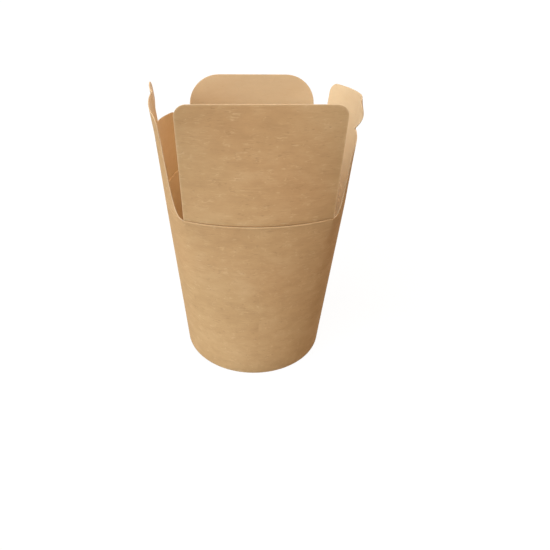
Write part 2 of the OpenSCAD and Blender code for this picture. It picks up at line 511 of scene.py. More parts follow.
    def _height(
        self, canvas: NodeCanvas, flat: Socket, fibres: Tuple[Socket, Socket]
    ) -> Socket:
        """Adds up the relief of the fibres, the paper's tooth and its broad waves.

        Args:
            canvas: The material's canvas.
            flat: Flat coordinates of the card.
            fibres: Patterns of the long and of the fine fibres.

        Returns:
            The height's socket.
        """
        long_fibre, fine_fibre = fibres
        tooth = canvas.noise(flat, scale=1500.0, detail=3.0, roughness=0.6)
        waves = SHEET_WAVES.draw(canvas, flat)
        height = canvas.plus(canvas.times(long_fibre, 0.8), canvas.times(fine_fibre, 0.4))
        height = canvas.plus(height, canvas.times(tooth, 0.35))
        return canvas.plus(height, canvas.times(waves, 2.2))


@dataclass(frozen=True)
class FibreFinish:
    """Bare fibres of the card: light where it is cut; laid dark along the pressed folds, as painted
    shade.
    """

    name: str
    colour: Colour
    shade: Colour
    roughness: float
    roughness_swing: float = 0.05
    specular: float = 0.25
    bump: float = 0.3
    bump_depth: float = 0.08

    def material(self) -> bpy.types.Material:
        """Builds the finish as a material.

        Returns:
            The material.
        """
        material, canvas, shader = new_surface(self.name)
        place = canvas.add("ShaderNodeTexCoord").outputs["Object"]
        fibres = canvas.noise(place, scale=900.0, detail=3.0, roughness=0.65)
        patches = canvas.span(canvas.noise(place, scale=160.0, detail=2.0), 0.35, 0.65, 0.35, 0.8)
        share = canvas.times(canvas.span(fibres, 0.4, 0.7), patches)
        canvas.feed(shader.inputs["Base Color"], canvas.mix(share, self.colour, self.shade))
        smooth = self.roughness - self.roughness_swing
        shine = canvas.span(fibres, 0.3, 0.7, smooth, self.roughness)
        canvas.feed(shader.inputs["Roughness"], shine)
        shader.inputs["Specular IOR Level"].default_value = self.specular
        canvas.feed(shader.inputs["Normal"], canvas.bump(fibres, self.bump, self.bump_depth))
        return material


class CardFinishes:
    """The materials of one sheet of card, in the order of its surfaces."""

    def __init__(self, outside: KraftFinish, inside: KraftFinish, cut: FibreFinish) -> None:
        """Builds the three materials.

        Args:
            outside: Finish of the outside.
            inside: Finish of the coated inside.
            cut: Finish of the cut edges.
        """
        self.by_surface: Dict[Surface, bpy.types.Material] = {
            Surface.OUTSIDE: outside.material(),
            Surface.INSIDE: inside.material(),
            Surface.CUT: cut.material(),
        }

    def dress(self, mesh: bpy.types.Mesh) -> None:
        """Fills a mesh's material slots, one for each surface."""
        for surface in Surface:
            mesh.materials.append(self.by_surface[surface])


OUTSIDE_KRAFT = KraftFinish(
    name="kraft_outside",
    colour=(0.564, 0.357, 0.170),
    warm=(0.548, 0.315, 0.144),
    pale=(0.700, 0.480, 0.262),
    dark=(0.395, 0.230, 0.100),
    wear_and_highlight=(0.700, 0.495, 0.280),
    fibre_share=0.45,
    hair_share=0.42,
    cloud_share=0.34,
    fleck_share=0.45,
    roughness=0.78,
    bump=0.45,
    specular=0.22,
)
INSIDE_KRAFT = KraftFinish(
    name="kraft_inside",
    colour=(0.692, 0.510, 0.302),
    warm=(0.684, 0.470, 0.260),
    pale=(0.800, 0.595, 0.345),
    dark=(0.590, 0.380, 0.188),
    wear_and_highlight=(0.740, 0.540, 0.318),
    fibre_share=0.28,
    hair_share=0.22,
    cloud_share=0.28,
    fleck_share=0.25,
    roughness=0.50,
    bump=0.22,
    specular=0.32,
)
BASE_KRAFT = KraftFinish(
    name="kraft_base",
    colour=(0.600, 0.392, 0.195),
    warm=(0.590, 0.365, 0.175),
    pale=(0.710, 0.500, 0.280),
    dark=(0.450, 0.275, 0.125),
    wear_and_highlight=(0.720, 0.530, 0.320),
    fibre_share=0.35,
    hair_share=0.45,
    cloud_share=0.30,
    fleck_share=0.35,
    roughness=0.58,
    bump=0.28,
    specular=0.30,
)
CUT_EDGE = FibreFinish(
    name="cut_edge", colour=(0.725, 0.540, 0.335), shade=(0.600, 0.410, 0.215), roughness=0.9
)
# Dark line laid in the front and back scores: painted shade of the groove.
PRESSED_LINE_SHADE = FibreFinish(
    name="pressed_line_painted_shade", colour=(0.300, 0.175, 0.075), shade=(0.230, 0.130, 0.052), roughness=0.85
)


@dataclass(frozen=True)
class CupRule:
    """Rule of the cup's wall: a round taper that flattens upwards into two bowed fold lines."""

    foot_radius: float = 37.5
    slope_deg: float = 4.8
    fold_height: float = 92.0
    half_angle_deg: float = 49.0
    bow: float = 7.0
    corner_push: float = 1.4
    corner_soft_deg: float = 14.0
    round_height: float = 8.0
    card: float = 0.45
    ease_samples: int = 17

    @property
    def rise(self) -> float:
        """Growth of the radius for each unit of height."""
        return math.tan(math.radians(self.slope_deg))

    def taper_radius(self, height: float) -> float:
        """Outside radius of the round taper at a height."""
        return self.foot_radius + height * self.rise

    @property
    def fold_radius(self) -> float:
        """Outside radius of the round taper at the fold line."""
        return self.taper_radius(self.fold_height)

    @property
    def corner_radius(self) -> float:
        """Distance of a corner of the mouth from the axis."""
        return self.fold_radius + self.corner_push

    @property
    def chord_x(self) -> float:
        """Half length of the chord under a bowed fold line."""
        return self.corner_radius * math.sin(math.radians(self.half_angle_deg))

    @property
    def chord_y(self) -> float:
        """Distance of that chord from the axis."""
        return self.corner_radius * math.cos(math.radians(self.half_angle_deg))

    @property
    def bow_radius(self) -> float:
        """Radius of a bowed fold line."""
        return (self.chord_x ** 2 + self.bow ** 2) / (2.0 * self.bow)

    @property
    def bow_centre(self) -> float:
        """Distance of that radius' centre from the axis."""
        return self.bow_radius - self.chord_y - self.bow

    def from_face(self, angle_deg: np.ndarray) -> np.ndarray:
        """Angle from the nearest of the front and the back."""
        turn = np.abs((angle_deg + 180.0) % 360.0 - 180.0)
        return np.minimum(turn, 180.0 - turn)

    def mouth_push(self, angle_deg: np.ndarray) -> np.ndarray:
        """How far the fold line lies outside the round taper, at angles from the front.

        Args:
            angle_deg: Angles from the front.

        Returns:
            The push at each angle, outwards.
        """
        from_face = self.from_face(angle_deg)
        turn = np.radians(from_face)
        across = self.bow_centre * np.sin(turn)
        bowed = np.sqrt(self.bow_radius ** 2 - across ** 2) - self.bow_centre * np.cos(turn)
        share = np.clip((from_face - self.half_angle_deg) / (90.0 - self.half_angle_deg), 0.0, 1.0)
        corner = self.corner_push * np.cos(np.radians(90.0 * share)) ** 2
        return np.where(from_face < self.half_angle_deg, bowed - self.fold_radius, corner)

    def corner_ease(self, angle_deg: np.ndarray) -> np.ndarray:
        """How much softer corners change the push, below the fold line.

        Args:
            angle_deg: Angles from the front.

        Returns:
            The change at each angle, outwards.
        """
        offsets = np.linspace(-1.0, 1.0, self.ease_samples)
        weights = 1.0 + np.cos(math.pi * offsets)
        turned = [self.mouth_push(angle_deg + self.corner_soft_deg * offset) for offset in offsets]
        soft = sum(weight * push for weight, push in zip(weights, turned))
        return soft / weights.sum() - self.mouth_push(angle_deg)

    def bow_at(self, x: np.ndarray) -> np.ndarray:
        """Bow of a fold line above its chord, at distances across."""
        return np.sqrt(self.bow_radius ** 2 - x ** 2) - self.bow_centre - self.chord_y


def smooth_step(share: np.ndarray) -> np.ndarray:
    """Eases a share between 0 and 1 at both ends."""
    held = np.clip(share, 0.0, 1.0)
    return held * held * (3.0 - 2.0 * held)


def corner_inset(distance: Union[float, np.ndarray], radius: float) -> np.ndarray:
    """Width that a round corner takes off an edge.

    Args:
        distance: Distance from the corner, along the other edge.
        radius: Radius of the corner.

    Returns:
        The inset at each distance.
    """
    inside = np.clip(radius - distance, 0.0, radius)
    return radius - np.sqrt(radius ** 2 - inside ** 2)


def polar(radius: np.ndarray, angle_deg: np.ndarray, height: np.ndarray) -> np.ndarray:
    """Points at radii, angles from the front and heights.

    Args:
        radius: Distances from the axis.
        angle_deg: Angles from the front.
        height: Heights.

    Returns:
        The points.
    """
    angle = np.radians(angle_deg)
    across, ahead = radius * np.sin(angle), -radius * np.cos(angle)
    return np.stack(np.broadcast_arrays(across, ahead, height), axis=-1)


def in_scene(name: str, data: bpy.types.ID) -> bpy.types.Object:
    """Puts a mesh, camera or lamp into the scene.

    Args:
        name: Name of the object.
        data: What it shows.

    Returns:
        The new object, at the origin.
    """
    thing = bpy.data.objects.new(name, data)
    bpy.context.scene.collection.objects.link(thing)
    return thing


def finished_object(name: str, mesh: bpy.types.Mesh) -> bpy.types.Object:
    """Puts a finished mesh into the scene, shaded smooth between its sharp edges.

    Args:
        name: Name of the piece.
        mesh: Its mesh, in metres.

    Returns:
        The new object, at the origin.
    """
    mesh.shade_smooth()
    mesh.set_sharp_from_angle(angle=math.radians(SHARP_EDGE_DEG))
    return in_scene(name, mesh)


def lay_flat(mesh: bpy.types.Mesh, flat: np.ndarray) -> None:
    """Writes the card's flat coordinates as a UV map, in metres.

    Args:
        mesh: The mesh.
        flat: Flat coordinates of its points, in millimetres.
    """
    layer = mesh.uv_layers.new(name=UV_NAME)
    corners = np.zeros(len(mesh.loops), dtype=np.int32)
    mesh.loops.foreach_get("vertex_index", corners)
    layer.data.foreach_set("uv", (flat[corners] * MM).astype(np.float32).ravel())


def mark_wear_and_highlight(mesh: bpy.types.Mesh, wear: np.ndarray) -> None:
    """Writes the wear of each point as an attribute; on the wall it also holds a painted highlight
    along the front and back folds.
    """
    layer = mesh.attributes.new(WEAR_AND_HIGHLIGHT_NAME, "FLOAT", "POINT")
    layer.data.foreach_set("value", wear.astype(np.float32))


@dataclass
class CardSheet:
    """A sheet of card between two grids of points, its kept cells closed by a rounded rim."""

    name: str
    outer: np.ndarray
    inner: np.ndarray
    flat: np.ndarray
    kept: np.ndarray
    mirrored: bool = False
    closed: bool = False
    folded_foot: bool = True
    rim_bulge: float = 0.10
    wear_width: float = 0.9

    def build(self, finishes: CardFinishes) -> bpy.types.Object:
        """Makes the sheet's mesh.

        Args:
            finishes: Materials for the three surfaces.

        Returns:
            The sheet as an object.
        """
        rows, cols = self.outer.shape[:2]
        count = rows * cols
        faces: List[Tuple[int, ...]] = []
        kinds: List[int] = []
        rims: List[Tuple[int, int]] = []
        for row, col in zip(*np.nonzero(self.kept)):
            low, high = row * cols + col, (row + 1) * cols + col
            ring = (low, low + 1, high + 1, high)
            faces += [ring, tuple(index + count for index in reversed(ring))]
            kinds += [Surface.OUTSIDE, Surface.INSIDE]
            around = ((row - 1, col), (row, col + 1), (row + 1, col), (row, col - 1))
            for side, beside in enumerate(around):
                if not self._is_kept(*beside):
                    rims.append((ring[side], ring[(side + 1) % 4]))
        points = np.concatenate([self.outer.reshape(-1, 3), self.inner.reshape(-1, 3)])
        middle, rim_points = self._rim_middles(rims, points, count)
        for start, end in rims:
            low_mid, high_mid = middle[start], middle[end]
            faces.append((end, start, low_mid, high_mid))
            faces.append((high_mid, low_mid, start + count, end + count))
            kinds += [Surface.CUT, Surface.CUT]
        mesh = self._mesh(np.concatenate([points, rim_points]), faces, kinds)
        finishes.dress(mesh)
        flat = self.flat.reshape(-1, 2)
        mid_flat = np.array([flat[index] for index in middle])
        lay_flat(mesh, np.concatenate([flat, flat + INSIDE_UV_SHIFT / MM, mid_flat]))
        wear = self._wear(flat, rims)
        mark_wear_and_highlight(mesh, np.concatenate([wear, wear, np.ones(len(middle))]))
        return finished_object(self.name, mesh)

    def _is_kept(self, row: int, col: int) -> bool:
        """Tells whether a cell is there; the last column of a closed sheet meets the first.

        Args:
            row: Row of the cell.
            col: Column of the cell.

        Returns:
            True where the sheet has card.
        """
        rows, cols = self.kept.shape
        col = col % cols if self.closed else col
        return 0 <= row < rows and 0 <= col < cols and bool(self.kept[row, col])

    def _rim_middles(
        self, rims: Sequence[Tuple[int, int]], points: np.ndarray, count: int
    ) -> Tuple[Dict[int, int], np.ndarray]:
        """Places a point half way through the card at each corner of the rim, pushed out a little.

        Args:
            rims: Edges of the rim, as pairs of outer points.
            points: Points of both grids.
            count: Number of points in one grid.

        Returns:
            The index of each outer point's middle point, and the middle points.
        """
        push: Dict[int, np.ndarray] = {}
        for start, end in rims:
            along = points[end] - points[start]
            through = points[start] - points[start + count]
            out = np.cross(along, through)
            out = out / max(np.linalg.norm(out), TINY)
            for index in (start, end):
                push[index] = push.get(index, np.zeros(3)) + out
        middle: Dict[int, int] = {}
        placed: List[np.ndarray] = []
        sign = -1.0 if self.mirrored else 1.0
        for index, out in push.items():
            middle[index] = 2 * count + len(placed)
            unit = out / max(np.linalg.norm(out), TINY)
            halfway = (points[index] + points[index + count]) / 2.0
            placed.append(halfway + sign * unit * self.rim_bulge)
        return middle, np.array(placed)

    def _wear(self, flat: np.ndarray, rims: Sequence[Tuple[int, int]]) -> np.ndarray:
        """Finds how rubbed each point is, from its distance to the nearest cut edge.

        Args:
            flat: Flat coordinates of the outer points.
            rims: Edges of the rim.

        Returns:
            Finds how worn each point is, from its distance to the nearest cut edge.
        """
        nearest = np.full(len(flat), np.inf)
        cols = self.outer.shape[1]
        for start, end in rims:
            if self.folded_foot and max(start, end) < cols:
                continue
            first, along = flat[start], flat[end] - flat[start]
            length = max(float(along @ along), TINY_SQUARE)
            share = np.clip(((flat - first) @ along) / length, 0.0, 1.0)
            gap = np.linalg.norm(flat - first - share[:, None] * along, axis=1)
            nearest = np.minimum(nearest, gap)
        return np.clip(1.0 - nearest / self.wear_width, 0.0, 1.0)

    def _mesh(
        self, points: np.ndarray, faces: Sequence[Tuple[int, ...]], kinds: Sequence[int]
    ) -> bpy.types.Mesh:
        """Makes the bare mesh, in metres, with a surface for each face.

        Args:
            points: Points, in millimetres.
            faces: Faces, seen anticlockwise from outside.
            kinds: Surface of each face.

        Returns:
            The mesh.
        """
        mesh = bpy.data.meshes.new(self.name)
        turned = [tuple(reversed(face)) for face in faces] if self.mirrored else faces
        corners = [tuple(int(index) for index in face) for face in turned]
        mesh.from_pydata((points * MM).tolist(), [], corners)
        mesh.polygons.foreach_set("material_index", np.array(kinds, dtype=np.int32))
        return mesh


class FoldRule:
    """Geometry Nodes group that gives the cup's outside radius from an angle and a height."""

    NAME = "cup_rule"

    def __init__(self, rule: CupRule) -> None:
        """Builds the group once.

        Args:
            rule: Sizes of the cup.
        """
        self.rule = rule
        self.tree = bpy.data.node_groups.new(self.NAME, "GeometryNodeTree")
        face = self.tree.interface
        for name in ("Angle", "Height", *self.sizes()):
            face.new_socket(name=name, in_out="INPUT", socket_type="NodeSocketFloat")
        face.new_socket(name="Radius", in_out="OUTPUT", socket_type="NodeSocketFloat")
        self._draw()

    def _draw(self) -> None:
        """Draws the rule: a taper, drawn in under the bowed folds and pushed out at the corners."""
        canvas = NodeCanvas(self.tree)
        given = canvas.add("NodeGroupInput").outputs
        angle, height, half = given["Angle"], given["Height"], given["Half angle"]
        sine, cosine = canvas.math("SINE", angle), canvas.math("COSINE", angle)
        across = canvas.times(given["Bow centre"], sine)
        along = canvas.times(given["Bow centre"], canvas.math("ABSOLUTE", cosine))
        square = canvas.times(given["Bow radius"], given["Bow radius"])
        root = canvas.math("SQRT", canvas.minus(square, canvas.times(across, across)))
        crown = canvas.minus(canvas.minus(root, along), given["Fold radius"])
        from_face = canvas.math("ARCSINE", canvas.math("ABSOLUTE", sine))
        past = canvas.minus(from_face, half)
        beside = canvas.math("DIVIDE", past, canvas.minus(QUARTER_TURN, half))
        faded = canvas.math("COSINE", canvas.times(beside, QUARTER_TURN))
        corner = canvas.times(given["Corner push"], canvas.times(faded, faded))
        on_face = canvas.math("LESS_THAN", past, 0.0)
        push = canvas.plus(corner, canvas.times(canvas.minus(crown, corner), on_face))
        risen = canvas.math("MAXIMUM", canvas.minus(height, given["Round height"]), 0.0)
        whole = canvas.minus(given["Fold height"], given["Round height"])
        share = canvas.math("DIVIDE", risen, whole)
        taper = canvas.math("MULTIPLY_ADD", height, given["Rise"])
        canvas.feed(taper.node.inputs[2], given["Foot radius"])
        radius = canvas.plus(taper, canvas.times(push, share))
        canvas.feed(canvas.add("NodeGroupOutput").inputs["Radius"], radius)

    def sizes(self) -> Dict[str, float]:
        """Finds the sizes that the group asks for.

        Returns:
            Values by the names of the group's inputs, in metres and radians.
        """
        rule = self.rule
        return {
            "Foot radius": rule.foot_radius * MM,
            "Rise": rule.rise,
            "Fold radius": rule.fold_radius * MM,
            "Bow radius": rule.bow_radius * MM,
            "Bow centre": rule.bow_centre * MM,
            "Half angle": math.radians(rule.half_angle_deg),
            "Corner push": rule.corner_push * MM,
            "Round height": rule.round_height * MM,
            "Fold height": rule.fold_height * MM,
        }

    def radius(self, canvas: NodeCanvas, given: object, angle: Socket, height: Operand) -> Socket:
        """Uses the group in another tree.

        Args:
            canvas: The other tree's canvas.
            given: Outputs of its group input.
            angle: Angle from the front, in radians.
            height: Height.

        Returns:
            The radius' socket.
        """
        node = canvas.add("GeometryNodeGroup", node_tree=self.tree)
        canvas.feed(node.inputs["Angle"], angle)
        canvas.feed(node.inputs["Height"], height)
        for name in self.sizes():
            canvas.feed(node.inputs[name], given[name])
        return node.outputs["Radius"]


class ShapeTree:
    """A Geometry Nodes tree with named sizes, which is run once and leaves a plain mesh."""

    def __init__(self, name: str, sizes: Dict[str, float], takes_mesh: bool) -> None:
        """Makes the tree and its sockets.

        Args:
            name: Name of the tree.
            sizes: Named sizes and their values.
            takes_mesh: Whether the tree shapes a mesh that it is given.
        """
        self.tree = bpy.data.node_groups.new(name, "GeometryNodeTree")
        self.values: Dict[str, float] = {}
        face = self.tree.interface
        face.new_socket(name="Geometry", in_out="OUTPUT", socket_type="NodeSocketGeometry")
        if takes_mesh:
            face.new_socket(name="Geometry", in_out="INPUT", socket_type="NodeSocketGeometry")
        for label, value in sizes.items():
            kind = "NodeSocketInt" if isinstance(value, int) else "NodeSocketFloat"
            socket = face.new_socket(name=label, in_out="INPUT", socket_type=kind)
            self.values[socket.identifier] = value
        self.canvas = NodeCanvas(self.tree)
        self.given = self.canvas.add("NodeGroupInput").outputs

    def close(self, geometry: Socket, materials: Dict[Surface, bpy.types.Material]) -> None:
        """Ends the tree in real faces with their materials.

        Args:
            geometry: The shape.
            materials: Material of each surface; the first is for every face without a mark.
        """
        canvas = self.canvas
        real = canvas.add("GeometryNodeRealizeInstances")
        canvas.feed(real.inputs["Geometry"], geometry)
        shape = real.outputs["Geometry"]
        for order, (surface, material) in enumerate(materials.items()):
            node = canvas.add("GeometryNodeSetMaterial")
            canvas.feed(node.inputs["Geometry"], shape)
            node.inputs["Material"].default_value = material
            if order:
                mark = canvas.add("GeometryNodeInputNamedAttribute", data_type="INT")
                mark.inputs["Name"].default_value = SURFACE_NAME
                same = canvas.add("FunctionNodeCompare", data_type="INT", operation="EQUAL")
                canvas.feed(same.inputs[2], mark.outputs["Attribute"])
                same.inputs[3].default_value = int(surface)
                canvas.feed(node.inputs["Selection"], same.outputs["Result"])
            shape = node.outputs["Geometry"]
        result = canvas.add("NodeGroupOutput")
        canvas.feed(result.inputs["Geometry"], shape)

    def run(self, mesh: bpy.types.Mesh) -> bpy.types.Mesh:
        """Runs the tree on a mesh.

        Args:
            mesh: The mesh to shape, or an empty one.

        Returns:
            The finished plain mesh.
        """
        carrier = in_scene(self.tree.name + "_carrier", mesh)
        modifier = carrier.modifiers.new(self.tree.name, "NODES")
        modifier.node_group = self.tree
        for identifier, value in self.values.items():
            modifier[identifier] = value
        graph = bpy.context.evaluated_depsgraph_get()
        shaped = bpy.data.meshes.new_from_object(
            carrier.evaluated_get(graph), preserve_all_data_layers=True, depsgraph=graph
        )
        carrier.modifiers.remove(modifier)
        bpy.data.objects.remove(carrier)
        return shaped


FOOT_TURNS_DEG = (0.0, 22.5, 45.0, 67.5)
RIM_TURNS_DEG = (22.5, 45.0, 67.5, 90.0)
RIDGE_SHAPE = ((1.2, 0.25), (0.8, 0.7), (0.45, 1.0), (0.18, 0.75))
SKIRT_STEPS = (0.4, 0.8, 1.0)
SCORE_ROWS = (0.0, 0.25, 0.5, 0.8, 1.2)


class WallPoint(NamedTuple):
    """A point of the wall's section, the surface of the step after it, and whether it lifts."""

    height: float
    inset: float
    surface: Surface
    lifts: bool


@dataclass
class CupWall:
    """The tapered wall: one blank, wrapped and lapped, its foot turned in and up as a hem."""

    rule: CupRule
    hem_height: float = 7.0
    slot: float = 0.65
    foot_round: float = 0.6
    seam_deg: float = 145.0
    seam_width: float = 8.0
    seam_ease: float = 22.0
    seam_step_deg: float = 0.02
    ridge: float = 0.16
    ridge_fade_deg: float = 8.0
    ease_height: float = 12.0
    lowest_row: float = 3.0
    under_fold: float = 1.6
    rows: int = 30
    columns: int = 240
    clear_deg: float = 0.5
    weld: float = 0.002
    fold_wear_and_highlight: float = 0.75
    # Lighter band under the front and back folds: partly wear, partly painted highlight on the
    # ridge.
    fold_wear_and_highlight_width: float = 1.4
    foot_wear: float = 0.5
    foot_wear_width: float = 1.2
    lap_wear: float = 0.7
    lap_wear_deg: float = 0.03
    body: str = "cup"
    node: str = "wall"

    def build(self, fold: FoldRule, finishes: CardFinishes) -> bpy.types.Object:
        """Wraps the blank into the cup.

        Args:
            fold: Rule of the cup as a node group.
            finishes: Materials of the card.

        Returns:
            The wall as an object.
        """
        tree = ShapeTree("wrap_blank", fold.sizes(), takes_mesh=True)
        canvas, given = tree.canvas, tree.given
        where = canvas.add("ShaderNodeSeparateXYZ")
        canvas.feed(where.inputs[0], canvas.add("GeometryNodeInputPosition").outputs[0])
        angle, inset, height = where.outputs
        radius = canvas.minus(fold.radius(canvas, given, angle, height), inset)
        move = canvas.add("GeometryNodeSetPosition")
        canvas.feed(move.inputs["Geometry"], given["Geometry"])
        canvas.feed(move.inputs["Position"], canvas.polar(radius, angle, height))
        merge = canvas.add("GeometryNodeMergeByDistance")
        canvas.feed(merge.inputs["Geometry"], move.outputs["Geometry"])
        merge.inputs["Distance"].default_value = self.weld * MM
        tree.close(merge.outputs["Geometry"], finishes.by_surface)
        return finished_object("cup_wall", tree.run(self._blank()))

    def dress(self, piece: bpy.types.Object) -> None:
        """Sets the wall on its body in place of its solid.

        Args:
            piece: The wall.
        """
        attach(piece, self.body)
        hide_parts(self.node)

    def _angles(self) -> np.ndarray:
        """Finds the angles of the blank's columns.

        Returns:
            Even angles, with close pairs at the lap's two edges and one angle at each corner.
        """
        first, last = self._lap()
        half, step = self.rule.half_angle_deg, self.seam_step_deg
        fixed = [first - step, first + step, last - step, last + step]
        fixed += [half, 180.0 - half, 180.0 + half, 360.0 - half]
        plain = np.linspace(0.0, 360.0, self.columns + 1)
        clear = [a for a in plain if min(abs(a - place) for place in fixed) > self.clear_deg]
        return np.array(sorted(clear + fixed))

    def _lap(self) -> Tuple[float, float]:
        """Angles of the outer sheet's end and of the inner sheet's end."""
        half = math.degrees(self.seam_width / self.rule.fold_radius) / 2.0
        return self.seam_deg - half, self.seam_deg + half

    def _lift(self, angle: float, inside: bool) -> float:
        """How far the lap lifts a surface off the plain taper.

        Args:
            angle: Angle from the front.
            inside: Whether it is the inside surface.

        Returns:
            The lift, outwards.
        """
        first, last = self._lap()
        if angle < (last if inside else first):
            return 0.0
        eased = float(smooth_step(np.array((angle - last) / self.seam_ease)))
        return self.rule.card * (1.0 - eased)

    def _section(self) -> List[WallPoint]:
        """Draws the wall's closed section.

        Returns:
            Its points, from the foot up the outside, over the rim and down to the hem.
        """
        card, fold, foot = self.rule.card, self.rule.fold_height, self.foot_round
        outside, inside, cut = Surface.OUTSIDE, Surface.INSIDE, Surface.CUT
        hem_out = card + self.slot
        hem_in = hem_out + card
        turns = [math.radians(turn) for turn in FOOT_TURNS_DEG]
        rounded = [(foot - foot * math.cos(t), foot - foot * math.sin(t)) for t in turns]
        rising = np.linspace(self.lowest_row, fold - self.under_fold, self.rows).tolist()
        ridge = [(fold - down, -self.ridge * share) for down, share in RIDGE_SHAPE]
        section = [WallPoint(z, depth, outside, False) for z, depth in rounded]
        section.append(WallPoint(foot, 0.0, outside, False))
        section += [WallPoint(z, 0.0, outside, True) for z in rising]
        section += [WallPoint(z, depth, outside, True) for z, depth in ridge]
        section += [WallPoint(fold, 0.0, cut, True), WallPoint(fold, card, inside, True)]
        section += [WallPoint(z, card, inside, True) for z in reversed(rising)]
        section += [
            WallPoint(card, card, inside, False),
            WallPoint(card, hem_out, inside, False),
            WallPoint(self.hem_height, hem_out, cut, False),
            WallPoint(self.hem_height, hem_in, outside, False),
            WallPoint(foot, hem_in, outside, False),
        ]
        section += [WallPoint(z, hem_in - depth, outside, False) for z, depth in reversed(rounded)]
        return section

    def _blank(self) -> bpy.types.Mesh:
        """Makes the flat blank: angle, inset and height stand for the three axes.

        Returns:
            The blank's mesh, with its flat coordinates, wear with a painted fold highlight, and
            surfaces.
        """
        section, angles = self._section(), self._angles()
        run, steps = self._lengths(section), len(section)
        points: List[Point] = []
        flat: List[Tuple[float, float]] = []
        wear: List[float] = []
        faced, eased = self._on_face(angles), self.rule.corner_ease(angles)
        for angle, on_face, ease in zip(angles.tolist(), faced.tolist(), eased.tolist()):
            turn = math.radians(angle)
            for point, along in zip(section, run):
                depth = point.inset * on_face if point.inset < 0.0 else point.inset
                if point.lifts:
                    inside = point.inset >= self.rule.card
                    depth -= self._lift(angle, inside) + ease * self._ease_share(point.height)
                points.append((turn, depth * MM, point.height * MM))
                flat.append((turn * self.rule.fold_radius, along))
                wear.append(self._wear(angle, point, on_face))
        faces: List[Tuple[int, int, int, int]] = []
        for col in range(len(angles) - 1):
            for step in range(steps):
                low, high = col * steps + step, col * steps + (step + 1) % steps
                faces.append((low, low + steps, high + steps, high))
        kinds = [int(point.surface) for point in section] * (len(angles) - 1)
        mesh = bpy.data.meshes.new("cup_wall")
        mesh.from_pydata(points, [], faces)
        mark = mesh.attributes.new(SURFACE_NAME, "INT", "FACE")
        mark.data.foreach_set("value", np.array(kinds, dtype=np.int32))
        lay_flat(mesh, np.array(flat))
        mark_wear_and_highlight(mesh, np.array(wear))
        return mesh

    @staticmethod
    def _lengths(section: Sequence[WallPoint]) -> List[float]:
        """Measures along the section.

        Args:
            section: Points of the section.

        Returns:
            Distance to each point from the first.
        """
        run = [0.0]
        for before, after in zip(section, section[1:]):
            step = math.hypot(after.height - before.height, after.inset - before.inset)
            run.append(run[-1] + step)
        return run

    def _on_face(self, angles: np.ndarray) -> np.ndarray:
        """Share from 1 along the front and back fold lines to 0 under the ears."""
        within = self.rule.half_angle_deg - self.rule.from_face(angles)
        return smooth_step(within / self.ridge_fade_deg)

    def _ease_share(self, height: float) -> float:
        """Share of the softer corners at a height: none at the foot and at the fold line.

        Args:
            height: Height above the floor.

        Returns:
            A number from 0 to 1.
        """
        rule = self.rule
        risen = max(0.0, height - rule.round_height) / (rule.fold_height - rule.round_height)
        below = (rule.fold_height - height) / self.ease_height
        return risen * float(smooth_step(np.array(below)))

    def _wear(self, angle: float, point: WallPoint, on_face: float) -> float:
        """How much the wall is lightened at a point: at the fold line, where on the front and back
        it is partly wear and partly painted highlight on the ridge, at the foot and at the lap's
        edge.

        Args:
            angle: Angle from the front.
            point: Point of the section.
            on_face: Share of the front or back fold line there.

        Returns:
            A number from 0 to 1.
        """
        if point.inset >= self.rule.card:
            return 0.0
        below = abs(self.rule.fold_height - point.height)
        # Under the front and back folds: partly wear, partly painted highlight on the lit ridge.
        fold = self.fold_wear_and_highlight * on_face * max(0.0, 1.0 - below / self.fold_wear_and_highlight_width)
        foot = self.foot_wear * max(0.0, 1.0 - point.height / self.foot_wear_width)
        at_lap = point.inset <= 0.0 and abs(angle - self._lap()[0]) < self.lap_wear_deg
        return max(fold, foot, self.lap_wear if at_lap else 0.0)


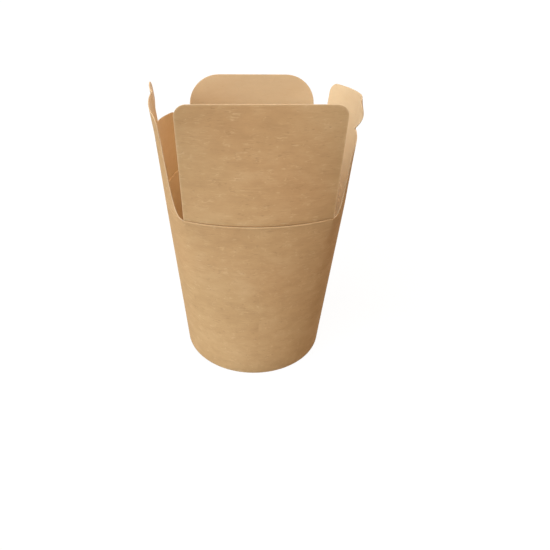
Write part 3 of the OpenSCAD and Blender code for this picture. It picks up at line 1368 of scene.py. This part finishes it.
@dataclass
class RoundBase:
    """The round base: a disc set up inside the foot, its rim turned down as a skirt."""

    rule: CupRule
    disc_z: float = 7.1
    skirt_foot: float = 0.55
    glue: float = 0.1
    bend: float = 0.8
    centre: float = 0.02
    rows: int = 14
    columns: int = 120
    weld: float = 0.04
    body: str = "cup"
    node: str = "base"

    def build(self, finishes: CardFinishes) -> bpy.types.Object:
        """Turns the base's section about the axis.

        Args:
            finishes: Materials of the base's card.

        Returns:
            The base as an object.
        """
        upper = self._profile(self.disc_z + self.rule.card, self.bend, 0.0)
        lower = self._profile(self.disc_z, self.bend - self.rule.card, self.rule.card)
        angles = np.linspace(0.0, 360.0, self.columns + 1)
        level = np.ones_like(angles)
        outer, inner = (
            np.stack([polar(radius * level, angles, z * level) for radius, z in reversed(side)])
            for side in (upper, lower)
        )
        run = np.concatenate([[0.0], np.cumsum(np.hypot(*np.diff(upper, axis=0).T))])
        turn = np.radians(angles)
        around = np.stack([np.sin(turn), np.cos(turn)], axis=-1)
        sheet = CardSheet(
            name="round_base",
            outer=outer,
            inner=inner,
            flat=np.stack([distance * around for distance in run[::-1]]),
            kept=np.ones((len(upper) - 1, self.columns), dtype=bool),
            closed=True,
            folded_foot=False,
            rim_bulge=0.0,
        )
        piece = sheet.build(finishes)
        self._close(piece.data)
        return piece

    def dress(self, piece: bpy.types.Object) -> None:
        """Sets the base on its body in place of its solid.

        Args:
            piece: The base.
        """
        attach(piece, self.body)
        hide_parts(self.node)

    def _profile(self, top: float, bend: float, inset: float) -> np.ndarray:
        """Half section of one face of the base, from the middle to the skirt's foot.

        Args:
            top: Height of the disc's face.
            bend: Radius of the turned rim.
            inset: Depth of the face below the skirt's outside.

        Returns:
            Radius and height of each point.
        """
        rim = self.rule.taper_radius(top) - self.rule.card - self.glue - inset
        foot = self.rule.taper_radius(self.skirt_foot) - self.rule.card - self.glue - inset
        disc = [(radius, top) for radius in np.linspace(self.centre, rim - bend, self.rows)]
        turn = [
            (rim - bend + bend * math.sin(t), top - bend + bend * math.cos(t))
            for t in np.radians(RIM_TURNS_DEG)
        ]
        fall = self.skirt_foot - top + bend
        skirt = [(rim + (foot - rim) * step, top - bend + fall * step) for step in SKIRT_STEPS]
        return np.array(disc + turn + skirt)

    def _close(self, mesh: bpy.types.Mesh) -> None:
        """Merges the seam and the middle of the disc.

        Args:
            mesh: The base's mesh.
        """
        work = bmesh.new()
        work.from_mesh(mesh)
        bmesh.ops.remove_doubles(work, verts=work.verts, dist=self.weld * MM)
        loose = [face for face in work.faces if face.calc_area() < TINY_SQUARE]
        bmesh.ops.delete(work, geom=loose, context="FACES_ONLY")
        work.to_mesh(mesh)
        work.free()
        mesh.update()


@dataclass
class FaceFlap:
    """A broad flap: bowed along its foot, straight along its top, with round corners."""

    name: str
    body: str
    face: Face
    rule: CupRule
    height: float
    half_width: float
    spread: float
    lean_deg: float
    corner: float
    score: float = 0.22
    score_width: float = 0.9
    blend_height: float = 12.0
    columns: int = 61
    edge_crowd: float = 0.4
    lowest_row: float = 2.0
    side_rows: int = 36
    corner_rows: int = 15

    def build(self, finishes: CardFinishes) -> bpy.types.Object:
        """Makes the flap as a sheet of card.

        Args:
            finishes: Materials of the card.

        Returns:
            The flap as an object.
        """
        heights = self._heights()
        share = np.linspace(-1.0, 1.0, self.columns)
        crowded = self.edge_crowd * np.sin(share * QUARTER_TURN)
        spans = (1.0 - self.edge_crowd) * share + crowded
        half = self.half_width + self.spread * heights / self.height
        half = half - corner_inset(self.height - heights, self.corner)
        x = half[:, None] * spans[None, :]
        z = np.repeat(heights[:, None], len(spans), axis=1)
        outer, inner = self._surfaces(x, z)
        flat = np.stack([x, self.rule.fold_height + z], axis=-1)
        if self.face is Face.BACK:
            outer[..., :2] *= -1.0
            inner[..., :2] *= -1.0
            flat = flat + np.array([math.pi * self.rule.fold_radius, 0.0])
        kept = np.ones((len(heights) - 1, len(spans) - 1), dtype=bool)
        return CardSheet(self.name, outer, inner, flat, kept).build(finishes)

    def dress(self, piece: bpy.types.Object) -> None:
        """Bakes the flap's place into its mesh, in place of its solid.

        Args:
            piece: The flap.
        """
        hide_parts(self.body)
        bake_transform(piece)

    def _heights(self) -> np.ndarray:
        """Finds the heights of the rows.

        Returns:
            Heights that are close at the score, even up the sides and close round the corners.
        """
        shoulder = self.height - self.corner
        side = np.linspace(self.lowest_row, shoulder, self.side_rows)
        turn = np.linspace(0.0, QUARTER_TURN, self.corner_rows)[1:]
        return np.concatenate([SCORE_ROWS, side, shoulder + self.corner * np.sin(turn)])

    def _surfaces(self, x: np.ndarray, z: np.ndarray) -> Tuple[np.ndarray, np.ndarray]:
        """Places the outside and the inside of the flap, in the frame of the front.

        Args:
            x: Distance across.
            z: Height above the fold line.

        Returns:
            The two grids of points.
        """
        rule = self.rule
        curve = 1.0 - z / self.height
        out = rule.chord_y + z * math.tan(math.radians(self.lean_deg)) + curve * rule.bow_at(x)
        turn = np.arcsin(x / rule.bow_radius) * curve
        outer = np.stack([x, -out, rule.fold_height + z], axis=-1)
        inward = np.stack([-np.sin(turn), np.cos(turn), np.zeros_like(turn)], axis=-1)
        inner = outer + rule.card * inward
        groove = self.score * np.exp(-((z / self.score_width) ** 2))
        return outer + groove[..., None] * inward, inner


@dataclass
class EarFlap:
    """An interlocking ear: on the taper up to a slit half way across, a free hook above it."""

    name: str
    body: str
    node: str
    side: Side
    hook: HookEdge
    hook_turn_deg: float
    rule: CupRule
    height: float = 45.0
    front_deg: float = 50.0
    back_deg: float = 131.0
    neck_front_deg: float = 16.0
    neck_back_deg: float = 5.0
    neck_power: float = 0.38
    slit: float = 33.0
    slit_width: float = 0.4
    slit_mouth: float = 2.0
    slit_depth: float = 22.5
    hook_reach: float = 16.0
    hook_corner: float = 5.0
    hook_top: float = 4.5
    hook_curl_deg: float = 0.0
    crease_deg: float = 0.0
    crease_at: float = 9.0
    crease_width: float = 2.0
    head_rise: float = 3.2
    hook_lift: float = 3.0
    lip_corner: float = 5.0
    corner: float = 4.5
    head_lean_deg: float = 3.0
    bend_width: float = 3.5
    score: float = 0.08
    score_width: float = 0.8
    blend_height: float = 11.0
    hook_cols: int = 26
    join_cols: int = 26
    neck_rows: int = 36
    neck_crowd: float = 1.7
    lip_rows: int = 9
    head_rows: int = 29
    mouth_power: int = 3

    def build(self, finishes: CardFinishes) -> bpy.types.Object:
        """Makes the ear as a sheet of card.

        Args:
            finishes: Materials of the card.

        Returns:
            The ear as an object.
        """
        neck, head = self._heights()
        heights = np.concatenate([neck, head])
        angles = np.stack([self._columns(float(height)) for height in heights])
        outer, inner = (
            np.stack([self._row(float(height), row, depth) for height, row in zip(heights, angles)])
            for depth in (0.0, self.rule.card)
        )
        level = np.broadcast_to(self.rule.fold_height + heights[:, None], angles.shape)
        flat = np.stack([np.radians(angles) * self.rule.fold_radius, level], axis=-1)
        kept = np.ones((len(heights) - 1, angles.shape[1] - 1), dtype=bool)
        first = self.hook_cols if self.hook is HookEdge.FRONT else self.join_cols
        free = slice(0, first) if self.hook is HookEdge.FRONT else slice(first, None)
        kept[len(neck) - 1, free] = False
        mirrored = self.side is Side.LEFT
        if mirrored:
            outer[..., 0] *= -1.0
            inner[..., 0] *= -1.0
            flat[..., 0] *= -1.0
        return CardSheet(self.name, outer, inner, flat, kept, mirrored=mirrored).build(finishes)

    def dress(self, piece: bpy.types.Object) -> None:
        """Bakes the ear's place into its mesh, in place of its solid.

        Args:
            piece: The ear.
        """
        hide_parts(self.node)
        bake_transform(piece)

    @property
    def _slit_low(self) -> float:
        """Height of the slit's lower lip."""
        return self.slit - self.slit_width / 2.0

    @property
    def _slit_top(self) -> float:
        """Height of the slit's upper lip."""
        return self.slit + self.slit_width / 2.0

    @property
    def _head_radius(self) -> float:
        """Radius of the taper at the slit."""
        return self.rule.taper_radius(self.rule.fold_height + self.slit)

    def _degrees(self, length: float) -> float:
        """Angle of an arc of a given length at the slit."""
        return math.degrees(length / self._head_radius)

    @property
    def _slit_end_deg(self) -> float:
        """Angle of the slit's blind end.

        Returns:
            The angle from the front.
        """
        if self.hook is HookEdge.FRONT:
            return self.front_deg + self.neck_front_deg + self._degrees(self.slit_depth)
        return self.back_deg - self.neck_back_deg - self._degrees(self.slit_depth)

    @property
    def _hook_end_deg(self) -> float:
        """Angle of the hook's end.

        Returns:
            The angle from the front.
        """
        shy = self._degrees(self.slit_depth - self.hook_reach)
        if self.hook is HookEdge.FRONT:
            return self.front_deg + self.neck_front_deg + shy
        return self.back_deg - self.neck_back_deg - shy

    @property
    def _join_deg(self) -> float:
        """Angle of the joined edge at the slit's height.

        Returns:
            The angle from the front.
        """
        if self.hook is HookEdge.FRONT:
            return self.back_deg - self.neck_back_deg
        return self.front_deg + self.neck_front_deg

    def _heights(self) -> Tuple[np.ndarray, np.ndarray]:
        """Finds the heights of the rows.

        Returns:
            Heights of the neck, below the slit, and of the head, above it.
        """
        shoulder = self._slit_low - self.lip_corner
        lip = np.sin(np.linspace(0.0, QUARTER_TURN, self.lip_rows)[1:])
        side = shoulder * np.linspace(0.0, 1.0, self.neck_rows) ** self.neck_crowd
        neck = np.concatenate([side, shoulder + self.lip_corner * lip])
        turn = np.linspace(0.0, math.pi, self.head_rows)
        head = self._slit_top + (self.height - self._slit_top) * (1.0 - np.cos(turn)) / 2.0
        return neck, head

    def _inset_deg(self, height: float, hooked: bool) -> float:
        """Angle that the round corners, and the hook's shorter reach, take off an edge.

        Args:
            height: Height above the fold line.
            hooked: Whether it is the hook's edge.

        Returns:
            The angle.
        """
        below, above = self.height - height, height - self._slit_top
        if height < self.slit:
            lip = float(corner_inset(self._slit_low - height, self.lip_corner))
            return self._degrees(lip) if hooked else 0.0
        if not hooked:
            return self._degrees(float(corner_inset(below, self.corner)))
        stretch = 1.0 + (self.head_rise - self.hook_lift) / (self.height - self._slit_top)
        inset = float(corner_inset(below * stretch, self.hook_top))
        inset += float(corner_inset(above * stretch, self.hook_corner))
        return self._degrees(inset + self.slit_depth - self.hook_reach)

    def _rise(self, height: float, angles: np.ndarray) -> np.ndarray:
        """How far the head's points lie above their plain row, towards the hook.

        Args:
            height: Height of the row above the fold line.
            angles: Angles of the points.

        Returns:
            The rise of each point.
        """
        top = self.head_rise * (angles - self._join_deg) / (self._hook_end_deg - self._join_deg)
        beyond = (angles - self._slit_end_deg) / (self._hook_end_deg - self._slit_end_deg)
        low = self.hook_lift * np.maximum(0.0, beyond)
        return low + (top - low) * (height - self._slit_top) / (self.height - self._slit_top)

    def _columns(self, height: float) -> np.ndarray:
        """Angles of the points of one row, with one column on the line of the slit's end.

        Args:
            height: Height above the fold line.

        Returns:
            The angles.
        """
        drawn = (min(height, self._slit_low) / self._slit_low) ** self.neck_power
        in_front = self.hook is HookEdge.FRONT
        front = self.front_deg + self.neck_front_deg * drawn + self._inset_deg(height, in_front)
        back = self.back_deg - self.neck_back_deg * drawn - self._inset_deg(height, not in_front)
        first, last = self.hook_cols, self.join_cols
        if not in_front:
            first, last = last, first
        middle = self._slit_end_deg
        return np.concatenate(
            [np.linspace(front, middle, first + 1)[:-1], np.linspace(middle, back, last + 1)]
        )

    def _row(self, height: float, angles: np.ndarray, depth: float) -> np.ndarray:
        """Points of one row at a depth below the outside.

        Args:
            height: Height above the fold line.
            angles: Angles of the points.
            depth: Depth below the outside.

        Returns:
            The points.
        """
        is_head = height > self.slit
        toward = float(self.hook.value)
        radius = self.rule.taper_radius(self.rule.fold_height + height)
        beyond = np.maximum(0.0, toward * (self._slit_end_deg - angles))
        if is_head:
            radius += (height - self._slit_top) * math.tan(math.radians(self.head_lean_deg))
            level = height + self._rise(height, angles)
        else:
            mouth = self.slit_mouth * (height / self._slit_low) ** self.mouth_power
            level = height - mouth * beyond / self._degrees(self.slit_depth)
        pressed = self.score * math.exp(-((height / self.score_width) ** 2))
        groove = pressed if depth == 0.0 else 0.0
        push = self.rule.mouth_push(angles) * max(0.0, 1.0 - height / self._slit_low)
        points = polar(radius + push - depth - groove, angles, self.rule.fold_height + level)
        if is_head:
            points = self._hook_turned(points, radius, beyond, height)
        return points

    def _hook_turned(
        self, points: np.ndarray, radius: float, beyond: np.ndarray, height: float
    ) -> np.ndarray:
        """Bends the hook's end at its crease, then turns and curls the hook at the slit's end.

        Args:
            points: Points of a row of the head.
            radius: Outside radius of the row.
            beyond: Angle of each point beyond the slit's end.
            height: Height of the row above the fold line.

        Returns:
            The turned points.
        """
        toward = float(self.hook.value)
        reach = np.radians(beyond) * radius
        below = (self.height - height) / (self.height - self._slit_top)
        crease = self.crease_deg * smooth_step((reach - self.crease_at) / self.crease_width)
        crease_end = self._slit_end_deg - toward * math.degrees(self.crease_at / radius)
        bent = self._swung(points, radius, crease_end, toward * crease)
        curl = self.hook_curl_deg * math.sin(math.pi * below) * smooth_step(reach / self.hook_reach)
        turn = self.hook_turn_deg * smooth_step(reach / self.bend_width) + curl
        return self._swung(bent, radius, self._slit_end_deg, toward * turn)

    def _swung(
        self, points: np.ndarray, radius: float, pivot_deg: float, turn_deg: np.ndarray
    ) -> np.ndarray:
        """Swings points about the upright line at one angle of a row.

        Args:
            points: Points of the row.
            radius: Outside radius of the row.
            pivot_deg: Angle of the upright line.
            turn_deg: Turn of each point.

        Returns:
            The swung points.
        """
        pivot = polar(np.array(radius), np.array(pivot_deg), points[..., 2])
        turn = np.radians(turn_deg)
        arm = points - pivot
        swung = np.stack(
            [
                arm[..., 0] * np.cos(turn) - arm[..., 1] * np.sin(turn),
                arm[..., 0] * np.sin(turn) + arm[..., 1] * np.cos(turn),
                arm[..., 2],
            ],
            axis=-1,
        )
        return pivot + swung


@dataclass
class ScoreBead:
    """A line along a fold: outside, a dark line of painted shade laid in the pressed score; inside,
    a raised bead.
    """

    name: str
    start_deg: float
    end_deg: float
    radius: float
    shift: float
    drop: float
    material: bpy.types.Material
    body: str = "cup"
    points: int = 72
    ring_points: int = 10
    tip_share: float = 0.004
    tip_power: float = 0.25

    def build(self, fold: FoldRule) -> bpy.types.Object:
        """Sweeps the bead along the fold line.

        Args:
            fold: Rule of the cup as a node group.

        Returns:
            The bead as an object.
        """
        sizes: Dict[str, float] = {
            **fold.sizes(),
            "Start angle": math.radians(self.start_deg),
            "End angle": math.radians(self.end_deg),
            "Bead radius": self.radius * MM,
            "Outward shift": self.shift * MM,
            "Bead height": (fold.rule.fold_height - self.drop) * MM,
            "Points": int(self.points),
        }
        tree = ShapeTree(self.name + "_sweep", sizes, takes_mesh=False)
        canvas, given = tree.canvas, tree.given
        line = canvas.add("GeometryNodeMeshLine")
        canvas.feed(line.inputs["Count"], given["Points"])
        index = canvas.add("GeometryNodeInputIndex").outputs[0]
        share = canvas.math("DIVIDE", index, canvas.minus(given["Points"], 1.0))
        width = canvas.minus(given["End angle"], given["Start angle"])
        angle = canvas.plus(given["Start angle"], canvas.times(share, width))
        height = given["Bead height"]
        radius = canvas.plus(fold.radius(canvas, given, angle, height), given["Outward shift"])
        move = canvas.add("GeometryNodeSetPosition")
        canvas.feed(move.inputs["Geometry"], line.outputs["Mesh"])
        canvas.feed(move.inputs["Position"], canvas.polar(radius, angle, height))
        path = canvas.add("GeometryNodeMeshToCurve")
        canvas.feed(path.inputs["Mesh"], move.outputs["Geometry"])
        ring = canvas.add("GeometryNodeCurvePrimitiveCircle")
        ring.inputs["Resolution"].default_value = self.ring_points
        canvas.feed(ring.inputs["Radius"], given["Bead radius"])
        sweep = canvas.add("GeometryNodeCurveToMesh")
        canvas.feed(sweep.inputs["Curve"], path.outputs["Curve"])
        canvas.feed(sweep.inputs["Profile Curve"], ring.outputs["Curve"])
        sweep.inputs["Fill Caps"].default_value = True
        taper = canvas.math("SINE", canvas.times(share, math.pi))
        taper = canvas.math("MAXIMUM", taper, self.tip_share)
        canvas.feed(sweep.inputs["Scale"], canvas.math("POWER", taper, self.tip_power))
        tree.close(sweep.outputs["Mesh"], {Surface.OUTSIDE: self.material})
        return finished_object(self.name, tree.run(bpy.data.meshes.new(self.name)))

    def dress(self, piece: bpy.types.Object) -> None:
        """Sets the bead on its body."""
        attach(piece, self.body)


@dataclass(frozen=True)
class PhotoCamera:
    """Camera at the photograph's viewing angle. Millimetres and degrees."""

    place: Point = (-19.53, -279.32, 237.1)
    heading_deg: float = 6.37
    pitch_deg: float = 35.25
    roll_deg: float = 2.23
    lens: float = 40.32
    sensor: float = 36.0
    nearest: float = 10.0

    def build(self) -> None:
        """Makes the camera and sets it as the scene's."""
        data = bpy.data.cameras.new("photo_camera")
        data.sensor_width = self.sensor
        data.lens = self.lens
        data.clip_start = self.nearest * MM
        camera = in_scene("photo_camera", data)
        heading, pitch = math.radians(self.heading_deg), math.radians(self.pitch_deg)
        level = math.cos(pitch)
        ahead = Vector((math.sin(heading) * level, math.cos(heading) * level, -math.sin(pitch)))
        roll = Matrix.Rotation(-math.radians(self.roll_deg), 3, ahead)
        right = roll @ Vector((math.cos(heading), -math.sin(heading), 0.0))
        above = right.cross(ahead)
        axes = Matrix((right, above, -ahead)).transposed().to_4x4()
        camera.matrix_world = Matrix.Translation(Vector(self.place) * MM) @ axes
        bpy.context.scene.camera = camera


@dataclass(frozen=True)
class SoftLamp:
    """A broad, distant lamp. Degrees from the front towards the right, and above the floor."""

    name: str
    azimuth_deg: float
    height_deg: float
    power: float
    tint: Colour
    spread_deg: float = 50.0

    def build(self) -> None:
        """Hangs the lamp."""
        data = bpy.data.lights.new(self.name, "SUN")
        data.energy = self.power
        data.angle = math.radians(self.spread_deg)
        data.color = self.tint
        lamp = in_scene(self.name, data)
        turn, above = math.radians(self.azimuth_deg), math.radians(self.height_deg)
        level = math.cos(above)
        origin = Vector((math.sin(turn) * level, -math.cos(turn) * level, math.sin(above)))
        lamp.rotation_euler = origin.to_track_quat("Z", "Y").to_euler()
        lamp.location = origin


@dataclass(frozen=True)
class Studio:
    """A pale floor, two soft lamps on the left, one on the right and one behind."""

    lamps: Tuple[SoftLamp, ...] = (
        SoftLamp("key_lamp", -38.0, 25.0, 2.36, (1.0, 1.03, 1.07)),
        SoftLamp("side_lamp", -76.0, 38.0, 1.86, (1.0, 1.02, 1.05)),
        SoftLamp("right_lamp", 73.0, 42.0, 1.62, (1.0, 0.72, 0.48)),
        SoftLamp("back_lamp", 165.0, 25.0, 1.3, (1.0, 0.95, 0.87)),
    )
    sky: float = 0.05
    floor_grey: float = 0.08
    floor_lift: float = 0.94
    floor_half: float = 4000.0
    floor_below: float = 0.3
    floor_roughness: float = 0.9

    def build(self) -> None:
        """Makes the floor, the lamps and the sky."""
        self._floor()
        for lamp in self.lamps:
            lamp.build()
        self._sky()
        bpy.context.scene.view_settings.view_transform = "Standard"

    @staticmethod
    def _seen(canvas: NodeCanvas) -> Socket:
        """Tells the rays that show the background from those that light the box.

        Args:
            canvas: Canvas of the floor or the sky.

        Returns:
            A socket, 1 where the camera sees it, straight, in a gloss or through something.
        """
        rays = canvas.add("ShaderNodeLightPath").outputs
        seen = canvas.plus(rays["Is Camera Ray"], rays["Is Glossy Ray"])
        return canvas.plus(seen, rays["Is Transmission Ray"], clamp=True)

    def _floor(self) -> None:
        """Lays the floor, which shows white to the camera and keeps the shadow."""
        half, level = self.floor_half * MM, -self.floor_below * MM
        mesh = bpy.data.meshes.new("studio_floor")
        corners = [(x * half, y * half, level) for x, y in ((-1, -1), (1, -1), (1, 1), (-1, 1))]
        mesh.from_pydata(corners, [], [(0, 1, 2, 3)])
        floor = in_scene("studio_floor", mesh)
        material, canvas, shader = new_surface("studio_floor")
        shader.inputs["Base Color"].default_value = opaque((self.floor_grey,) * 3)
        shader.inputs["Roughness"].default_value = self.floor_roughness
        shader.inputs["Specular IOR Level"].default_value = 0.0
        shader.inputs["Emission Color"].default_value = opaque(WHITE)
        glow = canvas.times(self._seen(canvas), self.floor_lift)
        canvas.feed(shader.inputs["Emission Strength"], glow)
        mesh.materials.append(material)

    def _sky(self) -> None:
        """Sets the even sky, white where the camera sees it."""
        world = bpy.data.worlds.new("studio_sky")
        world.use_nodes = True
        bpy.context.scene.world = world
        canvas = NodeCanvas(world.node_tree)
        background = world.node_tree.nodes["Background"]
        background.inputs["Color"].default_value = opaque(WHITE)
        strength = canvas.span(self._seen(canvas), 0.0, 1.0, self.sky, 1.0)
        canvas.feed(background.inputs["Strength"], strength)


def box_flaps(rule: CupRule) -> List[Union[FaceFlap, EarFlap]]:
    """Lists the four flaps.

    Args:
        rule: Sizes of the cup.

    Returns:
        The front flap, the back flap, the left ear and the right ear.
    """
    front = FaceFlap(
        name="front_card",
        body="front_flap",
        face=Face.FRONT,
        rule=rule,
        height=56.5,
        half_width=rule.chord_x,
        spread=1.4,
        lean_deg=4.0,
        corner=5.5,
    )
    back = FaceFlap(
        name="back_card",
        body="back_flap",
        face=Face.BACK,
        rule=rule,
        height=47.5,
        half_width=rule.corner_radius * math.sin(math.radians(BACK_HALF_ANGLE_DEG)),
        spread=-0.8,
        lean_deg=4.0,
        corner=15.0,
    )
    left = EarFlap(
        name="left_card",
        body="left_ear",
        node="left_flap",
        side=Side.LEFT,
        hook=HookEdge.BACK,
        hook_turn_deg=24.0,
        rule=rule,
    )
    right = EarFlap(
        name="right_card",
        body="right_ear",
        node="right_flap",
        side=Side.RIGHT,
        hook=HookEdge.FRONT,
        hook_turn_deg=-6.0,
        rule=rule,
        hook_curl_deg=11.0,
        crease_deg=-4.0,
        head_rise=5.0,
        hook_lift=3.2,
    )
    return [front, back, left, right]


def fold_lines(pressed: bpy.types.Material, raised: bpy.types.Material) -> List[ScoreBead]:
    """Lists the lines along the folds.

    Args:
        pressed: Finish of the dark line in the pressed score, which is painted shade.
        raised: Finish of a line that is raised.

    Returns:
        The lines of the front flap, the back flap, the left ear and the right ear.
    """
    # The front and back lines are dark card laid in the score: painted shade.
    score = {"radius": 0.26, "shift": -0.23, "drop": -0.26, "material": pressed}
    bead = {"drop": 0.30, "material": raised}
    return [
        ScoreBead("front_score_painted_shade", start_deg=-48.7, end_deg=48.7, **score),
        ScoreBead("back_score_painted_shade", start_deg=136.2, end_deg=223.8, **score),
        ScoreBead("left_bead", start_deg=-130.0, end_deg=-52.0, radius=0.28, shift=-0.50, **bead),
        ScoreBead("right_bead", start_deg=52.0, end_deg=130.0, radius=0.14, shift=-0.46, **bead),
    ]


def main() -> None:
    """Builds the box, piece by piece, and the studio around it."""
    logging.basicConfig(level=logging.INFO, format="%(name)s: %(message)s")
    PhotoCamera().build()
    rule = CupRule()
    fold = FoldRule(rule)
    card = CardFinishes(OUTSIDE_KRAFT, INSIDE_KRAFT, CUT_EDGE)
    base_card = CardFinishes(BASE_KRAFT, BASE_KRAFT, CUT_EDGE)
    pieces: List[bpy.types.Object] = []
    wall, base = CupWall(rule), RoundBase(rule)
    pieces.append(wall.build(fold, card))
    wall.dress(pieces[-1])
    pieces.append(base.build(base_card))
    base.dress(pieces[-1])
    for flap in box_flaps(rule):
        pieces.append(flap.build(card))
        flap.dress(pieces[-1])
    for line in fold_lines(PRESSED_LINE_SHADE.material(), card.by_surface[Surface.CUT]):
        pieces.append(line.build(fold))
        line.dress(pieces[-1])
    for piece in pieces:
        mesh = piece.data
        LOG.info("%s: %d points, %d faces", piece.name, len(mesh.vertices), len(mesh.polygons))
    Studio().build()


if __name__ == "__main__":
    main()
